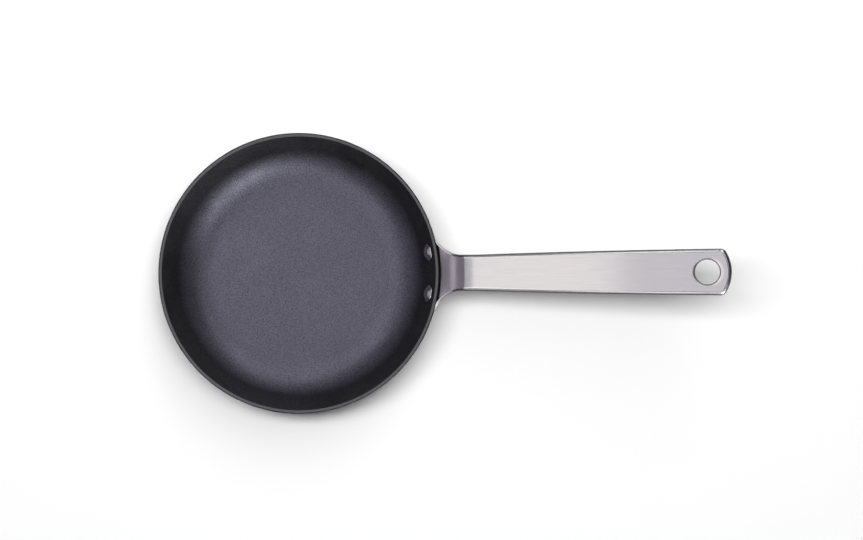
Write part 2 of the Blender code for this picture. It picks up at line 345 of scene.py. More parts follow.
@dataclass
class HandleSizes:
    """Sizes of the pressed strap, as it is cut flat and then bent, and how finely it is divided.

    The slopes are in degrees, from the root over the neck's end, the crease and the run out to the tip.
    """

    sheet: float = 0.0024
    sheared_edge: float = 0.0005
    plate_half_width: float = 0.0285
    plate_corner: float = 0.009
    shoulder_radius: float = 0.008
    neck_fillet: float = 0.022
    fillet_before_crease: float = 0.004
    neck_half_width: float = 0.01276
    grip_half_width: float = 0.01616
    grip_bulge: float = 0.0005
    tip_radius: float = 0.027
    tip_corner: float = 0.004
    flange_depth: float = 0.0065
    flange_radius: float = 0.003
    lip_edge: float = 0.0003
    flange_before_crease: float = 0.017
    flange_after_crease: float = 0.006
    slopes: tuple[float, ...] = (45.5, 33, 21, 15, 8)
    plate_drop: float = 0.02
    plate_top_drop: float = 0.004
    root_bend: float = 0.012
    neck_length: float = 0.0195
    crease_bend: float = 0.0085
    run_out: float = 0.008
    grip_length: float = 0.1794
    wrap_fade: float = 0.012
    hole_radius: float = 0.0086
    hole_to_tip: float = 0.0167
    hole_dish_radius: float = 0.0155
    hole_dish_width: float = 0.0034
    hole_rounding: float = 0.0009
    hole_burr: float = 0.0003
    seat_gap: float = 0.0003
    lip_band: float = 0.0018
    lip_clear: float = 0.0001
    lip_end_clear: float = 0.001
    seamless_from: float = 0.2
    flat_facing: float = 0.97
    tip_flat: float = math.radians(2.5)
    corner_steps: int = 14
    arc_steps: int = 9
    fillet_steps: int = 20
    stretch_steps: tuple[int, ...] = (4, 5, 6, 44)
    rounding_steps: int = 8
    hole_arc_steps: int = 6
    hole_steps: int = 96
    bend_columns: int = 9
    bend_steps: int = 460


class StrapPath:
    """The side view of the bent strap: slope and place of its top face along its length.

    The length at which a stretch starts, or the strap ends at its tip, is kept under its name.
    """

    def __init__(self, pan: PanSizes, sizes: HandleSizes) -> None:
        """Lay out the stretches from the plate's lower edge to the tip.

        Args:
            pan: Sizes of the casting that the plate lies against.
            sizes: Sizes of the strap.
        """
        plate = math.pi / 2 - pan.lean
        neck, neck_end, grip, run, tip = (math.radians(slope) for slope in sizes.slopes)
        self.stretches = {
            "plate": ((sizes.plate_drop - sizes.plate_top_drop) / math.cos(pan.lean), plate, plate),
            "root": (sizes.root_bend * (plate - neck), plate, neck),
            "neck": (sizes.neck_length, neck, neck_end),
            "crease": (sizes.crease_bend * (neck_end - grip), neck_end, grip),
            "run_out": (sizes.run_out, grip, run),
            "grip": (sizes.grip_length, run, tip),
        }
        ends = accumulate(length for length, _, _ in self.stretches.values())
        self.root, _, self.crease, self.run_out, self.grip, self.tip = ends
        height = pan.height - sizes.plate_drop
        self.start = Vector((pan.outer_radius(height) + sizes.seat_gap / math.cos(pan.lean), 0, height))

    def at(self, length: float) -> tuple[Vector, float]:
        """Find a point of the top face.

        Args:
            length: Length along the strap from the plate's lower edge.

        Returns:
            The point, and the slope there above the horizontal.
        """
        point = self.start.copy()
        left = length
        slope = 0.0
        for name, (span, first, last) in self.stretches.items():
            part = left if name == "grip" else min(left, span)
            slope = first + (last - first) * part / span
            if first == last:
                point.x += part * math.cos(first)
                point.z += part * math.sin(first)
            else:
                radius = span / (last - first)
                point.x += radius * (math.sin(slope) - math.sin(first))
                point.z += radius * (math.cos(first) - math.cos(slope))
            left -= part
            if left <= 0:
                break
        return point, slope


class StrapHandle:
    """The pressed handle: rivet plate, neck, crease, and a grip with a turned-down edge."""

    def __init__(self, pan: PanSizes, sizes: HandleSizes) -> None:
        """Keep the sizes and lay out the bends."""
        self.pan = pan
        self.sizes = sizes
        self.path = StrapPath(pan, sizes)
        self.plate_radius = self.path.at(self.path.root / 2)[0].x
        self.lip_start = self.path.crease - sizes.flange_before_crease
        self.hole_at = self.path.tip - sizes.hole_to_tip
        self.outline = self.stations()

    def wrap_share(self, length: float) -> float:
        """How fully the strap is wrapped round the pan at a length, from 1 at the plate to 0 in the neck."""
        return 1 - ease((length - self.path.root) / self.sizes.wrap_fade)

    def wrap_stretch(self, length: float) -> float:
        """How much the wrap widens the strap at a length: it grows with the distance from the pan's axis."""
        return 1 + self.wrap_share(length) * (self.path.at(length)[0].x / self.plate_radius - 1)

    def flange_share(self, length: float) -> float:
        """How far the edge is turned down at a length along the strap, from 0 to 1."""
        reach = self.sizes.flange_before_crease + self.sizes.flange_after_crease
        return ease((length - self.lip_start) / reach)

    def grip_edge(self, length: float) -> float:
        """Half width of the grip: a slight bow from neck to tip."""
        start = self.path.grip
        share = min(max((length - start) / (self.path.tip - start), 0.0), 1.0)
        taper = (self.sizes.grip_half_width - self.sizes.neck_half_width) * share
        return self.sizes.neck_half_width + taper + 4 * self.sizes.grip_bulge * share * (1 - share)

    def tip_corner_at(self) -> Pair:
        """Where the tip's small corner starts along the strap, and how far it leans round."""
        sizes = self.sizes
        lean = math.asin((sizes.grip_half_width - sizes.tip_corner) / (sizes.tip_radius - sizes.tip_corner))
        start = self.path.tip - sizes.tip_radius
        return start + (sizes.tip_radius - sizes.tip_corner) * math.cos(lean), lean

    def stations(self) -> list[Pair]:
        """Half widths of the flat blank, drawn in by what the wrap will widen them.

        Returns:
            Pairs of length and half width, from the plate's lower edge to the tip.
        """
        sizes = self.sizes
        pairs = []

        def arc(centre: Pair, radius: float, first: float, last: float, steps: int) -> None:
            """Add the stations of an arc, its first point left out."""
            for step in range(1, steps + 1):
                angle = first + (last - first) * step / steps
                pairs.append((centre[0] + radius * math.cos(angle), centre[1] + radius * math.sin(angle)))

        pairs.append((0.0, sizes.plate_half_width - sizes.plate_corner))
        arc((sizes.plate_corner, pairs[0][1]), sizes.plate_corner, math.pi, math.pi / 2, sizes.corner_steps)
        crease = self.path.crease
        fillet_end = crease - sizes.fillet_before_crease
        fillet_side = sizes.neck_half_width + sizes.neck_fillet
        shoulder_side = sizes.plate_half_width - sizes.shoulder_radius
        drop = fillet_side - shoulder_side
        reach = math.sqrt((sizes.neck_fillet + sizes.shoulder_radius) ** 2 - drop ** 2)
        lean = math.atan2(drop, reach)
        pairs.append((fillet_end - reach, sizes.plate_half_width))
        arc((fillet_end - reach, shoulder_side), sizes.shoulder_radius, math.pi / 2, lean, sizes.arc_steps)
        arc((fillet_end, fillet_side), sizes.neck_fillet, lean - math.pi, -math.pi / 2, sizes.fillet_steps)
        corner, corner_lean = self.tip_corner_at()
        bounds = [fillet_end, crease, self.path.run_out, self.path.grip, corner]
        for start, end, count in zip(bounds, bounds[1:], sizes.stretch_steps):
            for step in range(1, count + 1):
                length = start + (end - start) * step / count
                pairs.append((length, self.grip_edge(length)))
        side = pairs[-1][1] - sizes.tip_corner
        arc((corner, side), sizes.tip_corner, math.pi / 2, corner_lean, sizes.arc_steps)
        tip_centre = self.path.tip - sizes.tip_radius
        arc((tip_centre, 0), sizes.tip_radius, corner_lean, sizes.tip_flat, sizes.arc_steps)
        return [(length, half / self.wrap_stretch(length)) for length, half in pairs]

    def flat_blank(self) -> Workpiece:
        """Cut the strap's outline from sheet, as a flat solid with its top face at zero.

        Returns:
            The blank, with one undivided face at each end.
        """
        pairs = self.outline
        blank = Workpiece("pressed_handle", (pairs[0][0], -pairs[0][1], 0))
        blank.extrude((0, 2 * pairs[0][1], 0))
        blank.pick_all()
        for (length, half), (next_length, next_half) in zip(pairs, pairs[1:]):
            blank.extrude((next_length - length, 0, 0))
            blank.widen(next_half / half)
        corner, _ = self.tip_corner_at()
        for wanted in (lambda point: point.x < self.sizes.plate_corner, lambda point: point.x > corner):
            blank.pick(Part.FACE, wanted)
            bpy.ops.mesh.dissolve_faces()
        blank.pick_all()
        blank.extrude((0, 0, -self.sizes.sheet))
        blank.close_up()
        return blank

    def turn_down_edge(self, blank: Workpiece) -> None:
        """Give the blank the lip that runs along the grip and round the tip, fading out at the neck."""
        sizes = self.sizes
        under = NEAR - sizes.sheet
        blank.pick(Part.FACE, lambda point: point.z < under)
        bpy.ops.mesh.inset(thickness=sizes.sheet, use_even_offset=True, use_boundary=True)

        def in_lip(point: Vector) -> bool:
            """Whether the middle of a bottom face lies in the band that becomes the lip."""
            wanted = point.z < under and point.x > self.lip_start
            return wanted and self.edge_distance(point) < sizes.lip_band

        blank.pick(Part.FACE, in_lip)
        blank.extrude((0, 0, sizes.sheet - sizes.flange_depth))
        blank.pick(Part.POINT, lambda point: point.z < -sizes.sheet - sizes.lip_clear)
        mesh = bmesh.from_edit_mesh(blank.item.data)
        fading = self.path.grip
        lengths = sorted({round(vert.co.x, 5) for vert in mesh.verts if vert.select and vert.co.x < fading})
        lowest = TOUCHING - sizes.flange_depth
        for length in lengths:
            lift = (1 - self.flange_share(length)) * (sizes.flange_depth - sizes.sheet)
            blank.pick(Part.POINT, lambda point: point.z < lowest and abs(point.x - length) < 0.6 * NEAR)
            blank.move((0, 0, lift))
        blank.close_up(NEAR)
        blank.pick(Part.EDGE, lambda point: abs(point.z + sizes.sheet) < NEAR
                   and self.flange_share(point.x) > sizes.seamless_from and self.on_outline(point))
        bpy.ops.mesh.dissolve_edges(use_verts=True)

    def edge_distance(self, point: Vector) -> float:
        """Distance of a point of the flat blank from its outline."""
        place = Vector((point.x, abs(point.y)))
        corners = [Vector((0, 0))] + [Vector(corner) for corner in self.outline]
        corners.append(Vector((corners[-1].x, 0)))
        distances = []
        for start, end in zip(corners, corners[1:]):
            _, share = intersect_point_line(place, start, end)
            distances.append((place - start.lerp(end, min(max(share, 0), 1))).length)
        return min(distances)

    def on_outline(self, point: Vector) -> bool:
        """Whether a point of the flat blank lies on its outline, seen from above."""
        return self.edge_distance(point) < NEAR

    def round_edges(self, blank: Workpiece) -> None:
        """Roll the grip's top edge over to its full radius, and break the sheared edges everywhere."""
        sizes = self.sizes
        widest = sizes.flange_radius

        def weigh(wanted: Callable[[Vector], bool], radius: float) -> None:
            """Mark edges for rounding to a radius."""
            blank.pick(Part.EDGE, wanted)
            bpy.ops.transform.edge_bevelweight(value=radius / widest)

        pairs = self.outline
        for (low, _), (high, _) in zip(pairs, pairs[1:]):
            middle = (low + high) / 2
            share = self.flange_share(middle)
            radius = sizes.sheared_edge + (widest - sizes.sheared_edge) * share
            weigh(lambda point: point.z > -TOUCHING and abs(point.x - middle) < NEAR
                  and self.on_outline(point), radius)
        for end in (0.0, pairs[-1][0]):
            radius = widest if end > 0 else sizes.sheared_edge
            weigh(lambda point: point.z > -TOUCHING and abs(point.x - end) < TOUCHING, radius)
        weigh(lambda point: abs(point.z + sizes.sheet) < TOUCHING and point.x < self.lip_start
              and self.on_outline(point), sizes.sheared_edge)
        weigh(lambda point: abs(point.z + sizes.flange_depth) < TOUCHING
              and abs(point.x - self.lip_start) > sizes.lip_end_clear, sizes.lip_edge)
        blank.apply("rounding", "BEVEL", limit_method="WEIGHT", width=widest,
                    segments=sizes.rounding_steps, profile=0.5, use_clamp_overlap=False)

    def pierce(self, blank: Workpiece, rivets: list["Rivet"]) -> None:
        """Cut the hanging hole, with its drawn-in upper edge, and the rivets' bores.

        Args:
            blank: The flat handle.
            rivets: The rivets that pass through its plate.
        """
        sizes = self.sizes
        dish_slope = math.asin(sizes.hole_dish_width / sizes.hole_dish_radius)
        dish_depth = sizes.hole_dish_radius * (1 - math.cos(dish_slope))
        edge_angle = math.pi / 2 - dish_slope
        edge_drop = dish_depth + sizes.hole_rounding * math.cos(dish_slope)
        edge_centre = (sizes.hole_radius + sizes.hole_rounding, -edge_drop)
        flare = edge_centre[0] - sizes.hole_rounding * math.sin(dish_slope) + sizes.hole_dish_width
        burr = sizes.hole_burr
        punch = Workpiece("hanging_hole_punch", (0, 0, -2 * sizes.sheet))
        punch.draw((sizes.hole_radius + burr, 0), (0, sizes.sheet), (-burr, burr),
                   (0, sizes.sheet - burr + edge_centre[1]))
        punch.sweep(edge_centre, -edge_angle, sizes.hole_arc_steps)
        punch.sweep((flare, -sizes.hole_dish_radius), -dish_slope, sizes.hole_arc_steps)
        punch.draw((0, sizes.sheet), (-flare, 0))
        punch.lathe(sizes.hole_steps)
        punch.place(Matrix.Translation((self.hole_at, 0, 0)))
        blank.cut(punch)
        punch.drop()
        plate_slope = math.pi / 2 - self.pan.lean
        for rivet in rivets:
            placing = rivet.placing()
            seat = placing @ Vector((0, 0, self.pan.wall + sizes.seat_gap))
            radius = math.hypot(seat.x, seat.y)
            rise = Vector((radius, 0, seat.z)) - self.path.start
            length = rise.x * math.cos(plate_slope) + rise.z * math.sin(plate_slope)
            drill = rivet.rod(2 * sizes.sheet)
            drill.place(Matrix.Translation((length, self.plate_radius * math.atan2(seat.y, seat.x), 0)))
            blank.cut(drill)
            drill.drop()

    def map_surface(self, blank: Workpiece) -> None:
        """Lay the flat handle's own map over it: U runs along the strap and V round its section."""
        blank.leave()
        mesh = blank.item.data
        layer = mesh.uv_layers.new(name="brushing")
        for loop in mesh.loops:
            point = mesh.vertices[loop.vertex_index].co
            layer.uv[loop.index].vector = (point.x, point.y - math.copysign(point.z, point.y))

    def mark_edges(self, blank: Workpiece) -> None:
        """Mark the cut edge, down to where it is turned under, and the hole's ring, where shade is painted.
        """
        points = blank.item.data.vertices
        hole = Vector((self.hole_at, 0))
        reach = self.sizes.hole_radius + self.sizes.hole_rounding

        def cut(face: bpy.types.MeshPolygon) -> float:
            """How much of a face's look is that of the sheared edge."""
            flat = abs(face.normal.z) > self.sizes.flat_facing
            return 0.0 if flat else 1 - ease(2 * self.flange_share(face.center.x))

        def hole_ring_shade(face: bpy.types.MeshPolygon) -> float:
            """Whether all of a face lies in the hole's ring, which is painted dark as shade."""
            return float(max((points[index].co.xy - hole).length for index in face.vertices) < reach)

        blank.mark("cut_edge", cut)
        blank.mark("hole_ring_shade", hole_ring_shade)

    def bend(self, blank: Workpiece) -> None:
        """Bend the flat handle along its path, and wrap its plate round the pan's side."""
        columns = self.sizes.bend_columns
        for column in range(1 - columns, columns):
            blank.pick(Part.FACE, lambda point: point.x < self.path.crease)
            side = column * self.sizes.plate_half_width / columns
            bpy.ops.mesh.bisect(plane_co=(0, side, 0), plane_no=(0, 1, 0), threshold=TOUCHING)
        blank.leave()
        wrapped = blank.item.vertex_groups.new(name="wrapped")
        for vert in blank.item.data.vertices:
            wrapped.add([vert.index], self.wrap_share(vert.co.x), "REPLACE")
        width = 2 * max(vert.co.y for vert in blank.item.data.vertices)

        curve = bpy.data.curves.new("strap_path", "CURVE")
        curve.dimensions = "3D"
        spline = curve.splines.new("POLY")
        count = self.sizes.bend_steps
        spline.points.add(count)
        for number, point in enumerate(spline.points):
            place, _ = self.path.at(self.path.tip * number / count)
            point.co = (*place, 1)
        guide = put_in_scene("strap_path", curve)
        blank.apply("bends", "CURVE", object=guide, deform_axis="POS_X")
        bpy.data.objects.remove(guide, do_unlink=True)

        axis = put_in_scene("wrap_axis", None)
        axis.location = (self.plate_radius, 0, 0)
        axis.rotation_euler = (0, 0, math.pi / 2)
        bpy.context.view_layer.update()
        blank.apply("wrap", "SIMPLE_DEFORM", deform_method="BEND", deform_axis="Z", origin=axis,
                    angle=width / self.plate_radius, vertex_group="wrapped")
        bpy.data.objects.remove(axis, do_unlink=True)
        blank.item.vertex_groups.clear()

    def model(self, rivets: list["Rivet"]) -> Workpiece:
        """Make the handle from the flat blank to its last bend.

        Args:
            rivets: The rivets that pass through its plate.

        Returns:
            The finished handle.
        """
        blank = self.flat_blank()
        self.turn_down_edge(blank)
        self.round_edges(blank)
        self.pierce(blank, rivets)
        self.map_surface(blank)
        self.mark_edges(blank)
        self.bend(blank)
        blank.smooth()
        return blank


@dataclass
class RivetSizes:
    """Sizes of a rivet and of the bore round it."""

    spacing: float = 0.0296
    drop: float = 0.0085
    shank_radius: float = 0.0029
    clearance: float = 0.0003
    inner_radius: float = 0.0063
    inner_height: float = 0.0022
    inner_rim: float = 0.0006
    inner_flat: float = 0.0034
    outer_radius: float = 0.0055
    outer_height: float = 0.0024
    edge: float = 0.0002
    edge_angle: float = math.radians(25)
    edge_steps: int = 3
    dome_steps: int = 12
    turned_steps: int = 72
    bore_steps: int = 48


@dataclass
class Rivet:
    """A rivet through the casting and the plate: low bevelled head inside, domed head outside."""

    side: RivetSide
    pan: PanSizes
    strap: HandleSizes
    sizes: RivetSizes

    def placing(self) -> Matrix:
        """Turn and place of the rivet: its +Z leaves the pan's outside, from the wall's inside face."""
        height = self.pan.height - self.sizes.drop
        radius = self.pan.inner_radius(height)
        round_axis = Matrix.Rotation(self.side.value * math.asin(self.sizes.spacing / 2 / radius), 4, "Z")
        lean = Matrix.Rotation(math.pi / 2 + self.pan.lean, 4, "Y")
        return round_axis @ Matrix.Translation((radius, 0, height)) @ lean

    def rod(self, reach: float) -> Workpiece:
        """Upright rod of the bore's width, which reaches as far below the origin as above it."""
        radius = self.sizes.shank_radius + self.sizes.clearance
        rod = Workpiece("rivet_bore_" + self.side.name.lower(), (0, 0, -reach))
        rod.draw((radius, 0), (0, 2 * reach), (-radius, 0))
        rod.lathe(self.sizes.bore_steps)
        return rod

    def bore(self, casting: Workpiece) -> None:
        """Cut the rivet's bore through the pan's side."""
        drill = self.rod(3 * self.pan.wall)
        drill.place(self.placing())
        casting.cut(drill)
        drill.drop()

    def model(self) -> Workpiece:
        """Turn the rivet from the flat of its inner head to the crown of its outer head.

        Returns:
            The rivet in its place.
        """
        sizes = self.sizes
        gap = self.strap.seat_gap
        height = self.pan.height - sizes.drop
        sag = sizes.inner_radius ** 2 / 2 * math.cos(self.pan.lean) / self.pan.inner_radius(height)
        inner_seat = -gap - sag
        outer_seat = self.pan.wall + gap + self.strap.sheet + gap
        face = inner_seat - sizes.inner_height
        rivet = Workpiece("steel_rivet_" + self.side.name.lower(), (0, 0, face))
        rivet.draw((sizes.inner_flat, 0),
                   (sizes.inner_radius - sizes.inner_flat, sizes.inner_height - sizes.inner_rim),
                   (0, sizes.inner_rim), (sizes.shank_radius - sizes.inner_radius, 0),
                   (0, outer_seat - inner_seat), (sizes.outer_radius - sizes.shank_radius, 0))
        dome = (sizes.outer_radius ** 2 + sizes.outer_height ** 2) / (2 * sizes.outer_height)
        dome_angle = math.asin(sizes.outer_radius / dome)
        rivet.sweep((0, outer_seat + sizes.outer_height - dome), dome_angle, sizes.dome_steps)
        rivet.lathe(sizes.turned_steps)
        rivet.apply("broken_edges", "BEVEL", limit_method="ANGLE", angle_limit=sizes.edge_angle,
                    width=sizes.edge, segments=sizes.edge_steps)
        rivet.place(self.placing())
        rivet.smooth()
        return rivet


class Recipe:
    """A node tree that is put together node by node."""

    def __init__(self, tree: bpy.types.NodeTree) -> None:
        """Start on an empty tree."""
        self.tree = tree
        tree.nodes.clear()

    def add(self, kind: str, inputs: dict[str | int, object] | None = None,
            **settings: object) -> bpy.types.Node:
        """Add a node.

        Args:
            kind: Type of node.
            inputs: A value or another node's output for each named or numbered input.
            settings: Options of the node.

        Returns:
            The node.
        """
        node = self.tree.nodes.new(kind)
        for key, value in settings.items():
            setattr(node, key, value)
        for key, value in (inputs or {}).items():
            if isinstance(value, Socket):
                self.tree.links.new(value, node.inputs[key])
            else:
                node.inputs[key].default_value = value
        return node

    def use(self, effect: bpy.types.NodeTree, inputs: dict[str, object]) -> bpy.types.Node:
        """Place a shared effect with this finish's own values."""
        return self.add("ShaderNodeGroup", inputs, node_tree=effect)

    def sum_up(self, operation: str, first: object, second: object = 0.0) -> Socket:
        """Work out one number from two."""
        return self.add("ShaderNodeMath", {0: first, 1: second}, operation=operation).outputs[0]

    def plus(self, first: object, second: object) -> Socket:
        """Add two numbers."""
        return self.sum_up("ADD", first, second)

    def times(self, first: object, second: object) -> Socket:
        """Multiply two numbers."""
        return self.sum_up("MULTIPLY", first, second)

    def share_of(self, first: object, share: float, second: object, rest: float) -> Socket:
        """Add two numbers by their shares."""
        return self.plus(self.times(first, share), self.times(second, rest))

    def place(self) -> Socket:
        """Place on the piece, in the metres of its own frame."""
        return self.add("ShaderNodeTexCoord").outputs["Object"]

    def marked(self, name: str) -> Socket:
        """Read a mark of the faces."""
        return self.add("ShaderNodeAttribute", {}, attribute_name=name).outputs["Fac"]

    def split(self, vector: Socket) -> tuple[Socket, Socket]:
        """Split a place into its distance from the upright axis and its height."""
        axes = self.add("ShaderNodeSeparateXYZ", {0: vector}).outputs
        squares = self.plus(self.sum_up("POWER", axes[0], 2.0), self.sum_up("POWER", axes[1], 2.0))
        return self.sum_up("SQRT", squares), axes[2]

    def scaled(self, vector: Socket, scale: Triple) -> Socket:
        """Stretch a pattern's coordinates."""
        return self.add("ShaderNodeMapping", {"Vector": vector, "Scale": scale}).outputs[0]

    def band(self, value: object, start: float, end: float, low: float = 0.0, high: float = 1.0) -> Socket:
        """Carry a value smoothly from one span to another.

        Args:
            value: The value.
            start: Value that gives the low end.
            end: Value that gives the high end.
            low: Low end of the result.
            high: High end of the result.

        Returns:
            The result, held within its ends.
        """
        settings = {"Value": value, "From Min": start, "From Max": end, "To Min": low, "To Max": high}
        return self.add("ShaderNodeMapRange", settings, interpolation_type="SMOOTHSTEP").outputs[0]

    def spread(self, share: object, low: float, high: float) -> Socket:
        """Carry a share smoothly to a span of values."""
        return self.band(share, 0.0, 1.0, low, high)

    def waves(self, value: object, pitch: float) -> Socket:
        """Even waves from 0 to 1 along a length."""
        return self.band(self.sum_up("SINE", self.times(value, 2 * math.pi / pitch)), -1.0, 1.0)

    def blend(self, share: object, first: object, second: object) -> Socket:
        """Mix two colours."""
        return self.add("ShaderNodeMix", {0: share, 6: first, 7: second}, data_type="RGBA").outputs[2]

    def noise(self, vector: Socket, scale: object, detail: float, roughness: float = 0.5) -> Socket:
        """Cloudy noise from 0 to 1."""
        inputs = {"Vector": vector, "Scale": scale, "Detail": detail, "Roughness": roughness}
        return self.add("ShaderNodeTexNoise", inputs).outputs[0]


@dataclass
class SurfaceEffects:
    """Patterns for the finishes, each one a node group that is built once.

    The spans are those parts of the noise that are stretched to the whole of a pattern.
    """

    grain_turn: Triple = (0.62, 0.48, 0.9)
    grain_blur: float = 0.6
    grain_span: Pair = (0.75, 0.15)
    grain_height: float = 0.5
    dust_fineness: float = 2.3
    dust_share: float = 0.25
    speckle_span: Pair = (0.4, 0.6)
    fine_stretch: float = 0.012
    fine_share: float = 0.6
    broad_stretch: float = 0.02
    broad_fineness: float = 0.28
    stroke_span: Pair = (0.36, 0.64)
    smudge_span: Pair = (0.4, 0.68)

    def __post_init__(self) -> None:
        """Build the groups."""
        self.speckle = self.build_speckle()
        self.strokes = self.build_strokes()
        self.smudges = self.build_smudges()

    @staticmethod
    def start(name: str, label: str, outputs: list[str]) -> tuple[Recipe, bpy.types.Node]:
        """Open a group that takes a place and one number.

        Args:
            name: Name of the group.
            label: Name of the number.
            outputs: Names of the outputs, all plain numbers.

        Returns:
            The recipe for the group's nodes, and the node of its inputs.
        """
        tree = bpy.data.node_groups.new(name, "ShaderNodeTree")
        sockets = tree.interface
        sockets.new_socket("Vector", in_out="INPUT", socket_type="NodeSocketVector")
        sockets.new_socket(label, in_out="INPUT", socket_type="NodeSocketFloat")
        for output in outputs:
            sockets.new_socket(output, in_out="OUTPUT", socket_type="NodeSocketFloat")
        recipe = Recipe(tree)
        return recipe, recipe.add("NodeGroupInput")

    def build_speckle(self) -> bpy.types.NodeTree:
        """Granular skin of a sprayed coating: rounded grains with finer dust between them."""
        recipe, given = self.start("granular_speckle", "Grain", ["Shade", "Height"])
        turned = recipe.add("ShaderNodeMapping", {
            "Vector": given.outputs[0],
            "Rotation": self.grain_turn,
        }, vector_type="TEXTURE").outputs[0]
        cells = recipe.add("ShaderNodeTexVoronoi", {
            "Vector": turned,
            "Scale": given.outputs[1],
            "Smoothness": self.grain_blur,
        }, feature="SMOOTH_F1")
        dust = recipe.noise(turned, recipe.times(given.outputs[1], self.dust_fineness), 2.0, 0.6)
        lumps = recipe.noise(turned, given.outputs[1], 2.0)
        grains = recipe.band(cells.outputs["Distance"], *self.grain_span)
        shade = recipe.share_of(dust, self.dust_share, lumps, 1 - self.dust_share)
        height = recipe.share_of(grains, self.grain_height, shade, 1 - self.grain_height)
        recipe.add("NodeGroupOutput", {0: recipe.band(shade, *self.speckle_span), 1: height})
        return recipe.tree

    def build_strokes(self) -> bpy.types.NodeTree:
        """Brushing strokes: long fine lines along the first coordinate, with some deeper ones."""
        recipe, given = self.start("brushing_strokes", "Across", ["Shade", "Height"])
        along = recipe.scaled(given.outputs[0], (self.fine_stretch, 1.0, 1.0))
        fine = recipe.noise(along, given.outputs[1], 3.0, 0.7)
        along = recipe.scaled(given.outputs[0], (self.broad_stretch, 1.0, 1.0))
        broad = recipe.noise(along, recipe.times(given.outputs[1], self.broad_fineness), 2.0)
        shade = recipe.share_of(fine, self.fine_share, broad, 1 - self.fine_share)
        recipe.add("NodeGroupOutput", {0: recipe.band(shade, *self.stroke_span), 1: fine})
        return recipe.tree

    def build_smudges(self) -> bpy.types.NodeTree:
        """Soft uneven patches left by handling and washing."""
        recipe, given = self.start("handling_smudges", "Scale", ["Mask"])
        patches = recipe.noise(given.outputs[0], given.outputs[1], 4.0, 0.55)
        recipe.add("NodeGroupOutput", {0: recipe.band(patches, *self.smudge_span)})
        return recipe.tree


class MaterialRecipe(Recipe):
    """The recipe of a material, which ends in its shader and its relief."""

    def __init__(self, name: str) -> None:
        """Start an empty material."""
        self.material = bpy.data.materials.new(name)
        self.material.use_nodes = True
        super().__init__(self.material.node_tree)

    def finish(self, inputs: dict[str, object], height: Socket, depth: float) -> bpy.types.Material:
        """Close the material.

        Args:
            inputs: Values and links of the shader.
            height: Height of the relief, from 0 to 1.
            depth: Real depth of the relief.

        Returns:
            The finished material.
        """
        relief = self.add("ShaderNodeBump", {"Height": height, "Distance": depth, "Strength": 1.0})
        shader = self.add("ShaderNodeBsdfPrincipled", {**inputs, "Normal": relief.outputs[0]})
        self.add("ShaderNodeOutputMaterial", {"Surface": shader.outputs[0]})
        return self.material


